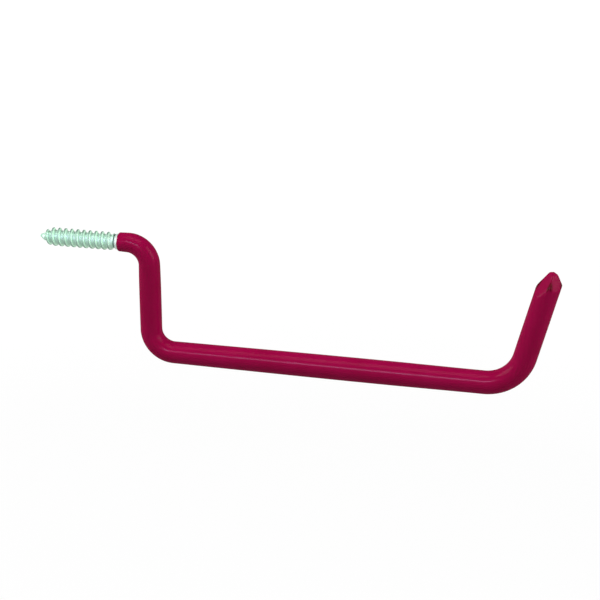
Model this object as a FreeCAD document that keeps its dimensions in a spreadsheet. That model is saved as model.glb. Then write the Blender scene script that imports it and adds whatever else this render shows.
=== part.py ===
import FreeCAD, Part
import os
import math
import Sketcher

# Screw-in garage hook: one plated steel rod, threaded at its wall end, bent to a shelf-like
# arm with an upturned end, and dipped in vinyl as far as the wall.
# Frame, in mm: origin on the screw axis in the wall plane, +X out of the wall, +Z up.

doc = FreeCAD.newDocument("garage_hook")
sheet = doc.addObject("Spreadsheet::Sheet", "sizes")

DRIVING = [
    # stock and coating
    ("rod_diameter", 6.75),
    ("coating_thickness", 1.725),
    # bent shape, along the rod's centreline
    ("wall_to_drop", 13.3),
    ("shoulder_radius", 9.3),
    ("drop_height", 47.8),
    ("heel_radius", 10.0),
    ("run_length", 133.9),
    ("toe_radius", 17.0),
    ("upright_angle", 75.0),
    ("upright_length", 36.6),
    # wall screw, by the crests of its thread
    ("screw_length", 35.7),
    ("bare_shank", 2.4),
    ("crest_diameter", 7.9),
    ("runout_length", 1.4),
    ("gimlet_length", 6.0),
    # pinch-cut point at the free end
    ("facet_angle", 24.0),
    ("facet_top", 0.4),
    ("facet_skew", 7.0),
    # coating where it ends at the wall
    ("lip_diameter", 8.2),
]
for row, (name, value) in enumerate(DRIVING, start=1):
    sheet.set("A%d" % row, name)
    sheet.set("B%d" % row, str(value))
    sheet.setAlias("B%d" % row, name)
doc.recompute()

# How a sketch numbers the ends of a line, its own origin and its two axes
START, END, CENTRE = range(1, 4)
H_AXIS, V_AXIS = range(-1, -3, -1)
ORIGIN_POINT = (H_AXIS, START)

# A whole turn in degrees, and the flats of the pinch-cut point
FULL_TURN = 360.0
FLAT_COUNT = 4


def value_of(formula):
    """Present value of a formula in the sheet's names."""
    return float(sheet.evalExpression(formula))


def add_sketch(body, name, role):
    sketch = body.newObject("Sketcher::SketchObject", name)
    plane = [f for f in body.Origin.OriginFeatures if f.Role == role][0]
    sketch.AttachmentSupport = (plane, [""])
    sketch.MapMode = "FlatFace"
    return sketch


def bind(sketch, formula, kind, *where):
    """Add a sketch dimension whose value follows the sheet."""
    index = sketch.addConstraint(Sketcher.Constraint(kind, *where, value_of(formula)))
    sketch.setExpression("Constraints[%d]" % index, formula)


def place_point(sketch, line, x, y):
    """Hold the start of a line at two formulas."""
    for kind, axis, formula in (("DistanceX", V_AXIS, x), ("DistanceY", H_AXIS, y)):
        if formula == "0":
            sketch.addConstraint(Sketcher.Constraint("PointOnObject", line, START, axis))
        elif value_of(formula) < 0:
            bind(sketch, "-(%s)" % formula, kind, line, START, *ORIGIN_POINT)
        else:
            bind(sketch, formula, kind, *ORIGIN_POINT, line, START)


def draw_loop(sketch, points):
    """Closed loop of straight lines through points given as pairs of formulas."""
    corners = [FreeCAD.Vector(value_of(x), value_of(y), 0) for x, y in points]
    count = len(corners)
    for i in range(count):
        sketch.addGeometry(Part.LineSegment(corners[i], corners[(i + 1) % count]), False)
    for i in range(count):
        sketch.addConstraint(Sketcher.Constraint("Coincident", i, END, (i + 1) % count, START))
    for i, (x, y) in enumerate(points):
        place_point(sketch, i, x, y)


def rod_path(body, name, upright):
    """Centreline from the wall plane to the free end: four straights and three bends."""
    sketch = add_sketch(body, name, "XZ_Plane")
    lean = math.radians(value_of("sizes.upright_angle"))
    shoulder, heel, toe = [value_of("sizes.%s_radius" % n) for n in ("shoulder", "heel", "toe")]
    drop_x, run_z = value_of("sizes.wall_to_drop"), -value_of("sizes.drop_height")
    run_end = drop_x + heel + value_of("sizes.run_length")
    foot_x, foot_z = run_end + toe * math.sin(lean), run_z + toe * (1 - math.cos(lean))
    rise = value_of(upright)

    def straight(x0, z0, x1, z1):
        return Part.LineSegment(FreeCAD.Vector(x0, z0, 0), FreeCAD.Vector(x1, z1, 0))

    def bend(x, z, radius, first, last):
        circle = Part.Circle(FreeCAD.Vector(x, z, 0), FreeCAD.Vector(0, 0, 1), radius)
        return Part.ArcOfCircle(circle, first, last)

    quarter = math.pi / 2
    sketch.addGeometry([
        straight(0, 0, drop_x - shoulder, 0),
        bend(drop_x - shoulder, -shoulder, shoulder, 0, quarter),
        straight(drop_x, -shoulder, drop_x, run_z + heel),
        bend(drop_x + heel, run_z + heel, heel, 2 * quarter, 3 * quarter),
        straight(drop_x + heel, run_z, run_end, run_z),
        bend(run_end, run_z + toe, toe, 3 * quarter, 3 * quarter + lean),
        straight(foot_x, foot_z, foot_x + rise * math.cos(lean), foot_z + rise * math.sin(lean)),
    ], False)
    for joint in ((0, END, 1, END), (1, START, 2, START), (2, END, 3, START),
                  (3, END, 4, START), (4, END, 5, START), (5, END, 6, START)):
        sketch.addConstraint(Sketcher.Constraint("Tangent", *joint))
    sketch.addConstraint(Sketcher.Constraint("Coincident", 0, START, *ORIGIN_POINT))
    sketch.addConstraint(Sketcher.Constraint("Horizontal", 0))
    sketch.addConstraint(Sketcher.Constraint("Vertical", 2))
    sketch.addConstraint(Sketcher.Constraint("Horizontal", 4))
    bind(sketch, "sizes.shoulder_radius", "Radius", 1)
    bind(sketch, "sizes.heel_radius", "Radius", 3)
    bind(sketch, "sizes.toe_radius", "Radius", 5)
    bind(sketch, "sizes.wall_to_drop", "DistanceX", *ORIGIN_POINT, 2, START)
    bind(sketch, "sizes.drop_height", "DistanceY", 4, START, *ORIGIN_POINT)
    bind(sketch, "sizes.run_length", "Distance", 4)
    bind(sketch, upright, "Distance", 6)
    index = sketch.addConstraint(Sketcher.Constraint("Angle", 6, lean))
    sketch.setExpression("Constraints[%d]" % index, "sizes.upright_angle * 1 deg")
    return sketch


def bent_bar(body, prefix, diameter, upright):
    """Round section carried along the hook's centreline."""
    path = rod_path(body, prefix + "_path", upright)
    section = add_sketch(body, prefix + "_section", "YZ_Plane")
    # The circle's seam runs along the top, on the inside of the two lower bends
    section.AttachmentOffset = FreeCAD.Placement(
        FreeCAD.Vector(0, 0, 0), FreeCAD.Rotation(FreeCAD.Vector(0, 0, 1), FULL_TURN / 4))
    circle = Part.Circle(FreeCAD.Vector(0, 0, 0), FreeCAD.Vector(0, 0, 1), value_of(diameter) / 2)
    section.addGeometry(circle, False)
    section.addConstraint(Sketcher.Constraint("Coincident", 0, CENTRE, *ORIGIN_POINT))
    bind(section, diameter, "Diameter", 0)
    doc.recompute()
    bar = body.newObject("PartDesign::AdditivePipe", prefix + "_bar")
    bar.Profile = section
    bar.Spine = (path, ["Edge%d" % (i + 1) for i in range(path.GeometryCount)])
    bar.Transition = "Transformed"
    doc.recompute()


def turned(body, kind, name, points):
    """Revolve a loop in the hook's plane about the screw axis, adding or cutting."""
    sketch = add_sketch(body, name + "_profile", "XZ_Plane")
    draw_loop(sketch, points)
    doc.recompute()
    feature = body.newObject("PartDesign::" + kind, name)
    feature.Profile = sketch
    feature.ReferenceAxis = (sketch, ["H_Axis"])
    feature.Angle = FULL_TURN
    doc.recompute()


def pinch_cut(body, prefix, half_top, rise):
    """Four flats cut at the free end; the cut stands a little askew to the rod."""
    foot_x = ("sizes.wall_to_drop + sizes.heel_radius + sizes.run_length"
              " + sizes.toe_radius * sin(sizes.upright_angle * 1 deg)")
    foot_z = ("sizes.toe_radius * (1 - cos(sizes.upright_angle * 1 deg))"
              " - sizes.drop_height")
    top_x = "%s + (%s) * cos(sizes.upright_angle * 1 deg)" % (foot_x, rise)
    top_z = "%s + (%s) * sin(sizes.upright_angle * 1 deg)" % (foot_z, rise)
    sketch = add_sketch(body, prefix + "_facet", "XZ_Plane")
    sketch.setExpression(
        "AttachmentOffset",
        "placement(vector(%s; %s; 0);"
        " rotation(vector(0; 0; 1); (sizes.upright_angle + sizes.facet_skew - 90) * 1 deg)"
        " * rotation(vector(0; 1; 0); %s deg))" % (top_x, top_z, FULL_TURN / FLAT_COUNT / 2))
    reach = "(sizes.rod_diameter + 2 * sizes.coating_thickness)"
    slope = "tan(sizes.facet_angle * 1 deg)"
    apex = "(%s / %s)" % (half_top, slope)
    above = "(%s + sizes.rod_diameter)" % apex
    draw_loop(sketch, [
        ("0", apex),
        (reach, "(%s - %s) / %s" % (half_top, reach, slope)),
        (reach, above),
        ("0", above),
    ])
    doc.recompute()
    facet = body.newObject("PartDesign::Pocket", prefix + "_flat")
    facet.Profile = sketch
    facet.SideType = "Symmetric"
    facet.Type = "Length"
    facet.setExpression("Length", "2 * %s" % reach)
    doc.recompute()
    body.Tip = facet
    flats = body.newObject("PartDesign::PolarPattern", prefix + "_flats")
    flats.Originals = [facet]
    flats.Axis = (sketch, ["V_Axis"])
    flats.Angle = FULL_TURN
    flats.Occurrences = FLAT_COUNT
    body.Tip = flats
    doc.recompute()


# Steel rod: bent bar, wall screw and pinch-cut end
rod = doc.addObject("PartDesign::Body", "steel_rod_body")
rod.Label = "steel_rod"
bent_bar(rod, "rod", "sizes.rod_diameter", "sizes.upright_length")
turned(rod, "Revolution", "wall_screw", [
    ("0", "0"),
    ("0", "sizes.rod_diameter / 2"),
    ("-sizes.bare_shank", "sizes.rod_diameter / 2"),
    ("-(sizes.bare_shank + sizes.runout_length)", "sizes.crest_diameter / 2"),
    ("-(sizes.screw_length - sizes.gimlet_length)", "sizes.crest_diameter / 2"),
    ("-sizes.screw_length", "0"),
])
pinch_cut(rod, "rod", "(sizes.facet_top / 2)", "sizes.upright_length")

# Vinyl coating: the same path, thicker, tapered to a thin lip at the wall
dip = doc.addObject("PartDesign::Body", "dip_body")
dip.Label = "dip_outline"
COAT_D = "(sizes.rod_diameter + 2 * sizes.coating_thickness)"
COAT_RISE = "(sizes.upright_length + sizes.coating_thickness)"
BEND_START = "(sizes.wall_to_drop - sizes.shoulder_radius)"
bent_bar(dip, "dip", COAT_D, COAT_RISE)
turned(dip, "Groove", "lip_taper", [
    ("0", "(sizes.lip_diameter / 2)"),
    (BEND_START, "(%s / 2)" % COAT_D),
    (BEND_START, COAT_D),
    ("0", COAT_D),
])
COAT_HALF_TOP = ("(sizes.facet_top / 2 + sizes.coating_thickness"
                 " * (1 - sin(sizes.facet_angle * 1 deg)) / cos(sizes.facet_angle * 1 deg))")
pinch_cut(dip, "dip", COAT_HALF_TOP, COAT_RISE)

coating = doc.addObject("Part::Cut", "vinyl_coating_cut")
coating.Label = "vinyl_coating"
coating.Base = dip
coating.Tool = rod
doc.recompute()

for item in doc.Objects:
    bad = {"Invalid", "Error"} & set(item.State)
    if bad:
        raise RuntimeError("%s is %s" % (item.Name, sorted(bad)))
os.makedirs("parts", exist_ok=True)
for piece in (rod, coating):
    shape = piece.Shape
    if shape.isNull() or not shape.isValid() or len(shape.Solids) != 1:
        raise RuntimeError("%s is not one sound solid" % piece.Label)
    shape.exportStep(os.path.join("parts", piece.Label + ".step"))
    print(piece.Label, "volume", round(shape.Volume, 1), "faces", len(shape.Faces))
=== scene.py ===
import math

import bpy
import numpy as np
from mathutils import Color, Matrix, Vector


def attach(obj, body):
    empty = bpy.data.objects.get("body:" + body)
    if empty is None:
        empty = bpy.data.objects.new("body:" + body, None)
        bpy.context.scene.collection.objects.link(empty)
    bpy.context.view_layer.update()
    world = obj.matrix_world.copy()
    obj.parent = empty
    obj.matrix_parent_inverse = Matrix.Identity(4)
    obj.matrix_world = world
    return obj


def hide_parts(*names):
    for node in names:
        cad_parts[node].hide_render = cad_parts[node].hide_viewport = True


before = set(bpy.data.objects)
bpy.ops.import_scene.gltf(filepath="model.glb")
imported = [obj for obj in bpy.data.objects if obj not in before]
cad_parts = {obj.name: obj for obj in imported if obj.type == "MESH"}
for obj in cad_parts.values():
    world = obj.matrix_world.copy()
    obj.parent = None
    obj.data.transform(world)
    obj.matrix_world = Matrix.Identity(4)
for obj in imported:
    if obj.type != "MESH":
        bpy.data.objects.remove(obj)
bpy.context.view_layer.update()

# Garage utility hook: a plated rod with a wood-screw end, bent to an arm with an upturned
# end and dipped in red vinyl. Lengths are in mm and turned into metres when a mesh is made.
MM = 0.001
COLUMNS = 96
TINY = 1e-9
QUARTER_TURN = math.radians(90.0)
FULL_TURN = math.radians(360.0)

# Bent rod, from the wall plane to the free end
ROD_RADIUS = 3.375
COATING = 1.725
WALL_LEAD = 4.0
SHOULDER_RADIUS = 9.3
DROP = 28.5
HEEL_RADIUS = 10.0
RUN = 133.9
TOE_RADIUS = 17.0
LEAN = math.radians(75.0)
ROD_UPRIGHT = 36.6
COAT_UPRIGHT = ROD_UPRIGHT + COATING
BEND_STEP = math.radians(3.0)
STRAIGHT_STEP = 3.5

# Dipped skin: its radius by the distance along the rod, and its edge at the wall
SKIN_LINE = ((0.0, 4.02), (8.0, 4.30), (22.0, 4.60), (50.0, 4.66), (90.0, 4.87), (130.0, 5.03),
             (160.0, 5.03), (190.0, 4.88), (225.0, 4.94), (260.0, 4.92))
LIP_ROUND = 0.55
LIP_ROWS = 7

# Pinch-cut point: four flats on an axis a little askew to the rod
FLATS = 4
FLAT_ANGLE = math.radians(24.0)
FLAT_SKEW = math.radians(7.0)
ROD_HALF_TOP = 0.2
COAT_HALF_TOP = 1.25
ROD_EDGE_SHARPNESS = 48
SKIN_EDGE_SHARPNESS = 28
POINT_DEPTH = 7.5
POINT_ROWS = 40
BLEND_LENGTH = 6.0
BLEND_ROWS = 8

# Painted shade at the foot of each ridge of the point, by how near the round bar is: how far the
# dark mark spreads over the two flats, and how strong it is
RIDGE_SHADE_SPREAD = ((0.6, 0.88, 1.08), (0.08, 0.46, 0.40))
RIDGE_SHADE_STRENGTH = ((0.6, 0.80, 1.02, 1.14), (0.0, 1.0, 1.0, 0.0))
RIDGE_SHADE_SOFT = 0.5

# Wall screw: right-hand thread with a gimlet point. Both lines give a radius by the place
# along the axis, and end at the bare shank beside a fine groove.
SCREW_LENGTH = 35.7
TIP_RADIUS = 0.30
SHANK = 1.05
GROOVE_EDGE = SHANK + 0.1
RUNOUT = 2.0
PITCH = 2.76
CREST_AT = -30.28
CREST_FLAT = 0.34
FLANK_RUN = 0.92
ROWS_PER_PITCH = 24
ROOT_LINE = ((-SCREW_LENGTH, TIP_RADIUS), (-34.3, 1.05), (-32.2, 2.05), (-29.3, 2.80),
             (-RUNOUT, 2.80), (-GROOVE_EDGE, 2.80), (-SHANK, ROD_RADIUS))
CREST_LINE = ((-SCREW_LENGTH, 0.35), (-34.3, 1.30), (-32.6, 2.80), (-30.9, 3.70), (-29.4, 3.94),
              (-5.0, 3.86), (-3.0, 3.70), (-RUNOUT, 3.10), (-GROOVE_EDGE, 2.90),
              (-SHANK, ROD_RADIUS))

# Thread depth as the zinc finish reads it
SHANK_DEPTH = -1.0
CREST_DEPTH = 0.0
ROOT_DEPTH = 1.0
GROOVE_DEPTH = 2.0

# Unevenness that both finishes share: noise details, and the range that the noise mostly keeps to
PATCH_DETAIL = 3.0
GRAIN_DETAIL = 2.0
PATCH_RANGE = (0.3, 0.7)

# Vinyl finish: display colours from 0 to 255, noise scales, gloss and grain height in metres
DIP_SHADES = ((147, 4, 60), (157, 7, 68))
# Painted shade: a darker red for the foot of each ridge of the point
RIDGE_PAINTED_SHADE = (96, 1, 24)
DIP_SCALES = (70.0, 650.0)
DIP_ROUGHNESS = (0.21, 0.30)
DIP_RELIEF = (0.12, 0.0002)
BASE_GLOSS = 0.0
COAT_GLOSS = 0.08
COAT_ROUGHNESS = 0.20

# Zinc finish: as for the vinyl, then colours laid over the plate by depth in the thread, each
# with its range of depth and its share at the two ends of that range
PLATE_SHADES = ((203, 236, 213), (218, 250, 228))
PLATE_SCALES = (260.0, 2600.0)
PLATE_ROUGHNESS = (0.56, 0.68)
PLATE_RELIEF = (0.15, 0.0001)
# Painted shade: darker crests, darker thread roots and a dark groove next to the shank; the shank's
# colour is its own
CREST_PAINTED_SHADE = ((112, 142, 125), (CREST_DEPTH, 0.3), (0.85, 0.0))
ROOT_PAINTED_SHADE = ((122, 154, 136), (0.35, ROOT_DEPTH), (0.0, 0.6))
GROOVE_PAINTED_SHADE = ((92, 116, 102), (ROOT_DEPTH, GROOVE_DEPTH), (0.0, 1.0))
SHANK_SHADE = ((192, 208, 199), (SHANK_DEPTH, CREST_DEPTH), (1.0, 0.0))

# Floor and room, in metres: the floor is whitest far from the hook, so that its shadow stays
FLOOR_LEVEL = -0.26
FLOOR_HALF = 6.0
FLOOR_GREY = (0.45, 0.45, 0.45, 1.0)
FLOOR_GLOW = 1.14
FLOOR_SHARES = (0.80, 1.0)
FLOOR_FADE = (0.5, 1.6)
WHITE = (1.0, 1.0, 1.0, 1.0)
ROOM_LIGHT = 0.08
WALL_TO_CEILING = (0.25, 0.75)
ROOM_SHADES = (1.0, 0.3)

# Soft boxes: place, width and height in metres, and power in watts. A narrow cool strip, which
# shows only in the gloss, draws the line of light along the arm.
AIM = (0.08, 0.0, -0.03)
SOFT_BOXES = {
    "top_box": ((0.05, -0.50, 2.10), (1.6, 1.2), 20.0),
    "left_box": ((-1.60, -0.60, 0.90), (1.0, 1.4), 29.0),
    "right_box": ((1.80, -0.45, 0.85), (1.0, 1.4), 23.0),
    "front_box": ((0.35, -1.90, 0.55), (1.0, 0.8), 1.2),
}
HIGHLIGHT_STRIP = ((-0.22, -1.60, 0.80), (0.8, 0.07), 26.0)
COOL_TINT = (0.72, 0.60, 1.0)

# Camera: its turn about the upright axis, how far it looks down, its roll, its distance in
# metres, and the pixel where the origin lands
YAW = math.radians(15.0)
LOOK_DOWN = math.radians(19.6)
ROLL = math.radians(-0.12)
DISTANCE = 0.76083
ORIGIN_AT = (119.04, 241.73)
PICTURE = 600
FOCAL = 1800.0
SENSOR = 36.0


# Centreline of the bent rod

def straight(length):
    return length, 0.0, None


def bend(radius, turn):
    return radius * abs(turn), turn, radius


def hook_path(upright):
    """Runs of the centreline as (length, turn, radius); a straight has no radius."""
    return (
        straight(WALL_LEAD),
        bend(SHOULDER_RADIUS, -QUARTER_TURN),
        straight(DROP),
        bend(HEEL_RADIUS, QUARTER_TURN),
        straight(RUN),
        bend(TOE_RADIUS, LEAN),
        straight(upright),
    )


def path_length(upright):
    return sum(length for length, turn, radius in hook_path(upright))


def path_stations(upright, first, last):
    """Distances along the path for the rings: close in the bends, wide on the straights."""
    stations = []
    start = 0.0
    for length, turn, radius in hook_path(upright):
        count = math.ceil(length / STRAIGHT_STEP)
        if radius:
            count = math.ceil(abs(turn) / BEND_STEP)
        stations += [start + length * (i + 1) / count for i in range(count)]
        start += length
    return [first] + [s for s in stations if first < s < last - STRAIGHT_STEP / 2]


def path_frame(upright, station):
    """Point on the centreline, its direction and the direction square to it in the hook's plane."""
    x, z, heading = 0.0, 0.0, 0.0
    left = station
    for length, turn, radius in hook_path(upright):
        part = min(left, length)
        if radius:
            swing = turn * part / length
            side = math.copysign(radius, turn)
            x += side * (math.sin(heading + swing) - math.sin(heading))
            z += side * (math.cos(heading) - math.cos(heading + swing))
            heading += swing
        else:
            x += part * math.cos(heading)
            z += part * math.sin(heading)
        left -= part
        if left <= 0:
            break
    along = np.array((math.cos(heading), 0.0, math.sin(heading)))
    square = np.array((-math.sin(heading), 0.0, math.cos(heading)))
    return np.array((x, 0.0, z)), along, square


ACROSS = np.array((0.0, 1.0, 0.0))
COLUMN_ANGLES = FULL_TURN * np.arange(COLUMNS) / COLUMNS


def spokes(square):
    """Directions of a ring's columns, from across the hook towards its upper side."""
    return np.outer(np.cos(COLUMN_ANGLES), ACROSS) + np.outer(np.sin(COLUMN_ANGLES), square)


def smooth(share):
    """A share from 0 to 1, eased so that both ends are level."""
    return share * share * (3 - 2 * share)


def skin_radius(station):
    """Radius of the dipped skin: thin at the wall, fullest along the arm, smooth in between."""
    places, radii = np.array(SKIN_LINE).T
    slopes = np.gradient(radii, places)
    low = int(np.clip(np.searchsorted(places, station) - 1, 0, len(places) - 2))
    gap = places[low + 1] - places[low]
    ease = (station - places[low]) / gap
    rise = radii[low + 1] - radii[low]
    start, end = slopes[low] * gap, slopes[low + 1] * gap
    curve = (start + end - 2 * rise) * ease + (3 * rise - 2 * start - end)
    return (curve * ease + start) * ease + radii[low]


# Pinch-cut point

class PinchCut:
    """Soft-edged solid of a round bar, four flats and an end face, measured along rays."""

    def __init__(self, upright, radius, half_top, sharpness):
        self.top, self.along, self.square = path_frame(upright, path_length(upright))
        self.radius = radius
        self.sharpness = sharpness
        self.axis, self.side = self.tilted(1.0)
        self.planes = [(self.along, 0.0)]
        for k in range(FLATS):
            angle = FULL_TURN * (k + 0.5) / FLATS
            outward = math.cos(angle) * ACROSS + math.sin(angle) * self.side
            normal = math.cos(FLAT_ANGLE) * outward + math.sin(FLAT_ANGLE) * self.axis
            self.planes.append((normal, half_top * math.cos(FLAT_ANGLE)))

    def tilted(self, share):
        """Ring axis and side direction, turned by a share of the skew."""
        c, s = math.cos(FLAT_SKEW * share), math.sin(FLAT_SKEW * share)
        return c * self.along + s * self.square, c * self.square - s * self.along

    def nearness(self, origin, rays):
        """One over the distance along each ray to the round bar, the end face and the flats."""
        offset = origin - self.top
        off = offset - (offset @ self.along) * self.along
        flat = rays - np.outer(rays @ self.along, self.along)
        a = np.maximum((flat * flat).sum(1), TINY)
        b = flat @ off
        c = off @ off - self.radius ** 2
        faces = [a / (np.sqrt(b * b - a * c) - b)]
        for normal, level in self.planes:
            faces.append(np.maximum(rays @ normal, 0.0) / (level - offset @ normal))
        return np.array(faces)

    def reach(self, origin, rays):
        """Distance from a point inside the bar to its soft-edged skin along each ray."""
        total = (self.nearness(origin, rays) ** self.sharpness).sum(0)
        return total ** (-1 / self.sharpness)

    def ridge(self, origin, rays):
        """1 on the foot of the ridge between two flats, where shade is painted, fading to 0."""
        bar, end_face, *flats = self.nearness(origin, rays)
        second, first = np.sort(flats, 0)[-2:]
        first = np.maximum(first, TINY)
        apart = 1 - second / first
        foot = bar / first
        across = np.clip((1 - apart / np.interp(foot, *RIDGE_SHADE_SPREAD)) / RIDGE_SHADE_SOFT, 0, 1)
        return across * np.interp(foot, *RIDGE_SHADE_STRENGTH)

    def rings(self):
        """Rings from the round bar to just short of the tip, the tip itself and the painted ridge
        shade.
        """
        inside = self.top - POINT_DEPTH * self.axis
        start = self.top - (POINT_DEPTH + BLEND_LENGTH) * self.along
        fans = []
        for step in range(BLEND_ROWS):
            share = step / BLEND_ROWS
            ease = smooth(share)
            shift = inside - (start + BLEND_LENGTH * self.along)
            centre = start + share * BLEND_LENGTH * self.along + ease * shift
            fans.append((centre, spokes(self.tilted(ease)[1])))
        sides = spokes(self.side)
        for step in range(POINT_ROWS):
            polar = QUARTER_TURN * (1 - step / POINT_ROWS)
            fans.append((inside, math.sin(polar) * sides + math.cos(polar) * self.axis))
        rows = [centre + rays * self.reach(centre, rays)[:, None] for centre, rays in fans]
        ridge_shade = [self.ridge(centre, rays) for centre, rays in fans]
        tip = inside + self.axis * self.reach(inside, self.axis[None, :])[0]
        return rows, tip, np.concatenate(ridge_shade)


# Mesh making

class Skin:
    """Vertices and faces of one piece, gathered ring by ring."""

    def __init__(self):
        self.points = []
        self.faces = []
        self.count = 0

    def add(self, points):
        """Adds points and returns their numbers."""
        first = self.count
        self.points.append(np.asarray(points, float).reshape(-1, 3))
        self.count += len(self.points[-1])
        return np.arange(first, self.count)

    def face(self, corners, inward=False):
        """Adds a face, leaving out repeated corners, or nothing if fewer than three are left."""
        kept = list(dict.fromkeys(int(c) for c in corners))
        if len(kept) > 2:
            self.faces.append(kept[::-1] if inward else kept)

    def band(self, low, high, inward=False):
        """Quads between two rings."""
        for i in range(COLUMNS):
            j = (i + 1) % COLUMNS
            self.face((low[i], low[j], high[j], high[i]), inward)

    def tube(self, rings, inward=False):
        for low, high in zip(rings, rings[1:]):
            self.band(low, high, inward)

    def cap(self, ring, tip, inward=False):
        for i in range(COLUMNS):
            self.face((ring[i], ring[(i + 1) % COLUMNS], tip), inward)

    def build(self, name, material):
        mesh = bpy.data.meshes.new(name)
        points = np.concatenate(self.points) * MM
        mesh.from_pydata(points.tolist(), [], self.faces)
        mesh.validate()
        mesh.polygons.foreach_set("use_smooth", [True] * len(mesh.polygons))
        mesh.materials.append(material)
        mesh.update()
        return show(bpy.data.objects.new(name, mesh))


def show(thing):
    bpy.context.scene.collection.objects.link(thing)
    return thing


def add_mask(piece, name, values):
    layer = piece.data.attributes.new(name, "FLOAT", "POINT")
    layer.data.foreach_set("value", values)


def bar_rings(upright, first, radius_at):
    """Rings of a round bar from a station near the wall to just short of where its point begins."""
    last = path_length(upright) - POINT_DEPTH - BLEND_LENGTH
    rings = []
    for station in path_stations(upright, first, last):
        centre, along, square = path_frame(upright, station)
        rings.append(centre + spokes(square) * radius_at(station))
    return rings


def rod_rings(first):
    """The bare rod inside the dip, with its own pinch-cut point."""
    point = PinchCut(ROD_UPRIGHT, ROD_RADIUS, ROD_HALF_TOP, ROD_EDGE_SHARPNESS)
    rings, tip, ridge_shade = point.rings()
    return bar_rings(ROD_UPRIGHT, first, lambda station: ROD_RADIUS) + rings, tip


def lip_rings():
    """Rounded edge of the dip, from the wall plane to its full radius."""
    centre, along, square = path_frame(COAT_UPRIGHT, 0.0)
    rings = []
    for row in range(LIP_ROWS):
        angle = QUARTER_TURN * row / LIP_ROWS
        inset = LIP_ROUND * (1 - math.sin(angle))
        station = LIP_ROUND * (1 - math.cos(angle))
        rings.append(centre + along * station + spokes(square) * (skin_radius(LIP_ROUND) - inset))
    return rings


def screw_points(x, radius, angle):
    """Points on the screw by the place along its axis, the radius and the angle round it."""
    x, radius, angle = np.broadcast_arrays(x, radius, angle)
    return np.stack((x, radius * np.cos(angle), radius * np.sin(angle)), 1)


def thread_radius(x, crest_distance):
    """Radius of the screw at x, a rounded ridge between its two lines, and the ridge's share."""
    root = np.interp(x, *zip(*ROOT_LINE))
    crest = np.interp(x, *zip(*CREST_LINE))
    flank = np.clip(1 - (np.abs(crest_distance) - CREST_FLAT / 2) / FLANK_RUN, 0, 1)
    ridge = smooth(flank)
    return root + (crest - root) * ridge, ridge


def add_wall_screw(skin, shank_ring):
    """Thread on a grid whose rows follow the helix, closed to a point and to the shank.

    Returns the thread depth at each point that it adds."""
    step = PITCH / ROWS_PER_PITCH
    margin = step / 4
    first = -math.ceil((SCREW_LENGTH + CREST_AT + PITCH) / step)
    last = math.ceil((-SHANK - CREST_AT) / step)
    rows = np.arange(first, last + 1)
    crest_distance = (step * rows + PITCH / 2) % PITCH - PITCH / 2
    tip_ring = skin.add(screw_points(-SCREW_LENGTH, TIP_RADIUS, COLUMN_ANGLES))
    depth = [CREST_DEPTH] * COLUMNS
    grid = []
    for angle in COLUMN_ANGLES:
        x = CREST_AT + PITCH * angle / FULL_TURN + step * rows
        radius, ridge = thread_radius(x, crest_distance)
        inside = (x > -SCREW_LENGTH + margin) & (x < -SHANK - margin)
        column = skin.add(screw_points(x, radius, angle)[inside])
        depth += np.where(x > -RUNOUT, GROOVE_DEPTH, ROOT_DEPTH - ridge)[inside].tolist()
        grid.append(dict(zip(rows[inside].tolist(), column)))

    def corner(i, row):
        """Grid point, a turn further on past the last column, or a point of the end rings."""
        if i == COLUMNS:
            i, row = 0, row + ROWS_PER_PITCH
        if row in grid[i]:
            return grid[i][row]
        return shank_ring[i] if row > 0 else tip_ring[i]

    for i in range(COLUMNS):
        for row in range(first - ROWS_PER_PITCH, last + 1):
            skin.face((corner(i, row), corner(i + 1, row),
                       corner(i + 1, row + 1), corner(i, row + 1)))
    tip = skin.add([(-SCREW_LENGTH, 0.0, 0.0)])[0]
    depth.append(CREST_DEPTH)
    skin.cap(tip_ring, tip, inward=True)
    return depth


# Finishes

def linear(shade):
    """Shader colour for a display colour from 0 to 255."""
    colour = Color([channel / 255 for channel in shade])
    return (*colour.from_srgb_to_scene_linear(), 1.0)


def set_input(tree, socket, value):
    """Links another socket to this one, or sets a plain value on it."""
    if isinstance(value, bpy.types.NodeSocket):
        tree.links.new(value, socket)
    else:
        socket.default_value = value


def node(tree, kind, inputs=(), **settings):
    made = tree.nodes.new(kind)
    for name, value in settings.items():
        setattr(made, name, value)
    for socket, value in dict(inputs).items():
        set_input(tree, made.inputs[socket], value)
    return made


def ramp(tree, value, span, results):
    """Turns a span of values into a span of results."""
    return node(tree, "ShaderNodeMapRange", {
        "Value": value,
        "From Min": span[0],
        "From Max": span[1],
        "To Min": results[0],
        "To Max": results[1],
    }).outputs["Result"]


def blend(tree, share, first, second):
    """Colour between two colours."""
    mix = node(tree, "ShaderNodeMix", {"Factor": share}, data_type="RGBA")
    colours = [socket for socket in mix.inputs if socket.type == "RGBA"]
    for socket, value in zip(colours, (first, second)):
        set_input(tree, socket, value)
    return next(socket for socket in mix.outputs if socket.type == "RGBA")


def new_material(name):
    material = bpy.data.materials.new(name)
    material.use_nodes = True
    material.node_tree.nodes.clear()
    return material, material.node_tree


def surface_unevenness():
    """Slow patches and fine grain that a dipped skin and a plated screw both show."""
    group = bpy.data.node_groups.new("surface_unevenness", "ShaderNodeTree")
    for name in ("Patch Scale", "Grain Scale"):
        group.interface.new_socket(name, in_out="INPUT", socket_type="NodeSocketFloat")
    for name in ("Patches", "Grain"):
        group.interface.new_socket(name, in_out="OUTPUT", socket_type="NodeSocketFloat")
    given = node(group, "NodeGroupInput").outputs
    place = node(group, "ShaderNodeTexCoord").outputs["Object"]
    patches = node(group, "ShaderNodeTexNoise",
                   {"Vector": place, "Scale": given["Patch Scale"], "Detail": PATCH_DETAIL})
    grain = node(group, "ShaderNodeTexNoise",
                 {"Vector": place, "Scale": given["Grain Scale"], "Detail": GRAIN_DETAIL})
    node(group, "NodeGroupOutput",
         {"Patches": patches.outputs["Fac"], "Grain": grain.outputs["Fac"]})
    return group


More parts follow.
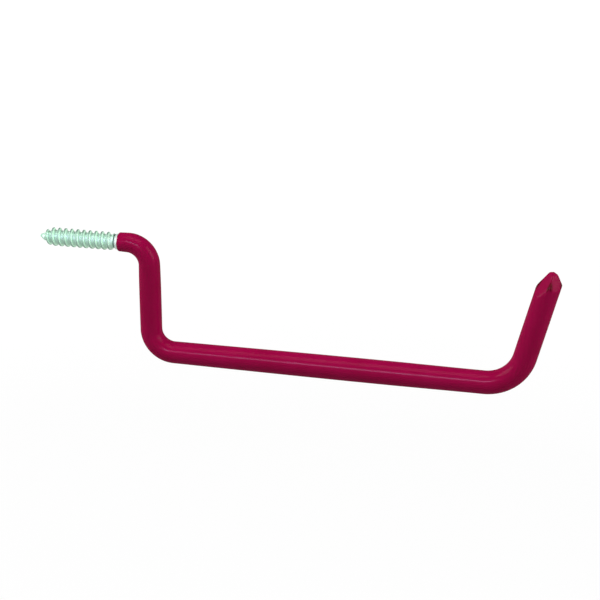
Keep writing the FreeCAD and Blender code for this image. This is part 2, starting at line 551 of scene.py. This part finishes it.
class UnevenFinish:
    """Material under way: a patchy colour, patchy roughness and a grain to finish it with."""

    def __init__(self, name, unevenness, scales, shades, relief):
        self.material, self.tree = new_material(name)
        uneven = node(self.tree, "ShaderNodeGroup",
                      {"Patch Scale": scales[0], "Grain Scale": scales[1]}, node_tree=unevenness)
        self.patches = uneven.outputs["Patches"]
        self.colour = blend(self.tree, self.patchy((0.0, 1.0)), *map(linear, shades))
        bump = node(self.tree, "ShaderNodeBump", {
            "Height": uneven.outputs["Grain"],
            "Strength": relief[0],
            "Distance": relief[1],
        })
        self.normal = bump.outputs["Normal"]

    def patchy(self, results):
        return ramp(self.tree, self.patches, PATCH_RANGE, results)

    def mask(self, name):
        return node(self.tree, "ShaderNodeAttribute", attribute_name=name).outputs["Fac"]

    def lay(self, share, shade):
        """Lays a colour over what is there."""
        self.colour = blend(self.tree, share, self.colour, linear(shade))

    def done(self, roughness, values):
        """The finished material, with plain values for the shader's other inputs."""
        shader = node(self.tree, "ShaderNodeBsdfPrincipled", {
            "Base Color": self.colour,
            "Roughness": self.patchy(roughness),
            "Normal": self.normal,
            **values,
        })
        node(self.tree, "ShaderNodeOutputMaterial", {"Surface": shader.outputs["BSDF"]})
        return self.material


def red_vinyl(unevenness):
    finish = UnevenFinish("red_vinyl", unevenness, DIP_SCALES, DIP_SHADES, DIP_RELIEF)
    # Painted shade: a darker red laid at the foot of each ridge of the point
    finish.lay(finish.mask("ridge_painted_shade"), RIDGE_PAINTED_SHADE)
    return finish.done(DIP_ROUGHNESS, {
        "Specular IOR Level": BASE_GLOSS,
        "Coat Weight": COAT_GLOSS,
        "Coat Roughness": COAT_ROUGHNESS,
    })


def bright_zinc(unevenness):
    finish = UnevenFinish("bright_zinc", unevenness, PLATE_SCALES, PLATE_SHADES, PLATE_RELIEF)
    depth = finish.mask("thread_depth")
    # Painted shade on the crests, in the roots and in the groove, then the shank's own colour
    for shade, depths, shares in (CREST_PAINTED_SHADE, ROOT_PAINTED_SHADE, GROOVE_PAINTED_SHADE, SHANK_SHADE):
        finish.lay(ramp(finish.tree, depth, depths, shares), shade)
    return finish.done(PLATE_ROUGHNESS, {"Metallic": 1.0})


# Pieces

def make_steel_rod(material):
    skin = Skin()
    rings, tip = rod_rings(-SHANK)
    rows = [skin.add(ring) for ring in rings]
    end = skin.add([tip])[0]
    skin.tube(rows)
    skin.cap(rows[-1], end)
    depth = [SHANK_DEPTH] * skin.count
    depth += add_wall_screw(skin, rows[0])
    piece = skin.build("steel_rod_with_thread", material)
    add_mask(piece, "thread_depth", depth)
    return piece


def make_vinyl_coating(material):
    skin = Skin()
    point = PinchCut(COAT_UPRIGHT, skin_radius(path_length(COAT_UPRIGHT)), COAT_HALF_TOP,
                     SKIN_EDGE_SHARPNESS)
    point_rings, tip, ridge_shade = point.rings()
    outer = lip_rings() + bar_rings(COAT_UPRIGHT, LIP_ROUND, skin_radius) + point_rings
    outer_rows = [skin.add(ring) for ring in outer]
    point_end = skin.count
    bore, bore_tip = rod_rings(0.0)
    bore_rows = [skin.add(ring) for ring in bore]
    skin.tube(outer_rows)
    skin.cap(outer_rows[-1], skin.add([tip])[0])
    skin.tube(bore_rows, inward=True)
    skin.cap(bore_rows[-1], skin.add([bore_tip])[0], inward=True)
    skin.band(bore_rows[0], outer_rows[0])
    piece = skin.build("vinyl_coating_dip", material)
    # Painted shade mask for the foot of each ridge of the point
    painted_shade = np.zeros(skin.count)
    painted_shade[point_end - len(ridge_shade):point_end] = ridge_shade
    add_mask(piece, "ridge_painted_shade", painted_shade)
    return piece


unevenness = surface_unevenness()
steel = make_steel_rod(bright_zinc(unevenness))
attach(steel, "root")
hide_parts("steel_rod")

coating = make_vinyl_coating(red_vinyl(unevenness))
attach(coating, "root")
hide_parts("vinyl_coating")


# Floor, light and camera

def seen_directly(tree):
    """1 where the camera, a reflection or a see-through ray meets the surface first."""
    path = node(tree, "ShaderNodeLightPath").outputs
    either = node(tree, "ShaderNodeMath",
                  {0: path["Is Camera Ray"], 1: path["Is Glossy Ray"]}, operation="MAXIMUM")
    return node(tree, "ShaderNodeMath",
                {0: either.outputs[0], 1: path["Is Transmission Ray"]},
                operation="MAXIMUM").outputs[0]


def pale_floor():
    material, tree = new_material("pale_floor")
    matt = node(tree, "ShaderNodeBsdfDiffuse", {"Color": FLOOR_GREY})
    glow = node(tree, "ShaderNodeEmission", {"Color": WHITE, "Strength": FLOOR_GLOW})
    place = node(tree, "ShaderNodeTexCoord").outputs["Object"]
    away = node(tree, "ShaderNodeVectorMath", {0: place}, operation="LENGTH").outputs["Value"]
    white = ramp(tree, away, FLOOR_FADE, FLOOR_SHARES)
    share = node(tree, "ShaderNodeMath", {0: white, 1: seen_directly(tree)}, operation="MULTIPLY")
    mix = node(tree, "ShaderNodeMixShader",
               {0: share.outputs[0], 1: matt.outputs[0], 2: glow.outputs[0]})
    node(tree, "ShaderNodeOutputMaterial", {"Surface": mix.outputs[0]})
    mesh = bpy.data.meshes.new("floor")
    corners = ((-FLOOR_HALF, -FLOOR_HALF), (FLOOR_HALF, -FLOOR_HALF),
               (FLOOR_HALF, FLOOR_HALF), (-FLOOR_HALF, FLOOR_HALF))
    mesh.from_pydata([(x, y, FLOOR_LEVEL) for x, y in corners], [], [(0, 1, 2, 3)])
    mesh.materials.append(material)
    show(bpy.data.objects.new("floor", mesh))


def white_room():
    """White walls to the eye, greyer towards the ceiling, and a dim even light."""
    world = bpy.data.worlds.new("white_room")
    bpy.context.scene.world = world
    world.use_nodes = True
    tree = world.node_tree
    tree.nodes.clear()
    place = node(tree, "ShaderNodeTexCoord").outputs["Generated"]
    height = node(tree, "ShaderNodeSeparateXYZ", {"Vector": place}).outputs["Z"]
    white = ramp(tree, height, WALL_TO_CEILING, ROOM_SHADES)
    strength = ramp(tree, seen_directly(tree), (0.0, 1.0), (ROOM_LIGHT, white))
    glow = node(tree, "ShaderNodeBackground", {"Color": WHITE, "Strength": strength})
    node(tree, "ShaderNodeOutputWorld", {"Surface": glow.outputs[0]})


def softbox(name, place, size, power):
    lamp = bpy.data.lights.new(name, "AREA")
    lamp.shape = "RECTANGLE"
    lamp.size, lamp.size_y = size
    lamp.energy = power
    box = show(bpy.data.objects.new(name, lamp))
    box.location = place
    box.rotation_euler = (Vector(AIM) - Vector(place)).to_track_quat("-Z", "Y").to_euler()
    return box


def photo_camera():
    turn = (Matrix.Rotation(ROLL, 3, "Y") @ Matrix.Rotation(LOOK_DOWN, 3, "X")
            @ Matrix.Rotation(-YAW, 3, "Z"))
    middle = PICTURE / 2
    metres_per_pixel = DISTANCE / FOCAL
    offset = Vector(((ORIGIN_AT[0] - middle) * metres_per_pixel, DISTANCE,
                     (middle - ORIGIN_AT[1]) * metres_per_pixel))
    right, forward, up = turn
    lens = bpy.data.cameras.new("photo_camera")
    lens.sensor_width = SENSOR
    lens.lens = SENSOR * FOCAL / PICTURE
    camera = show(bpy.data.objects.new("photo_camera", lens))
    columns = Matrix((right, up, -forward)).transposed()
    camera.matrix_world = Matrix.Translation(-(turn.transposed() @ offset)) @ columns.to_4x4()
    bpy.context.scene.camera = camera


pale_floor()
white_room()
for name, (place, size, power) in SOFT_BOXES.items():
    softbox(name, place, size, power)
strip = softbox("highlight_strip", *HIGHLIGHT_STRIP)
strip.visible_diffuse = False
strip.data.color = COOL_TINT
photo_camera()
bpy.context.scene.view_settings.view_transform = "Standard"
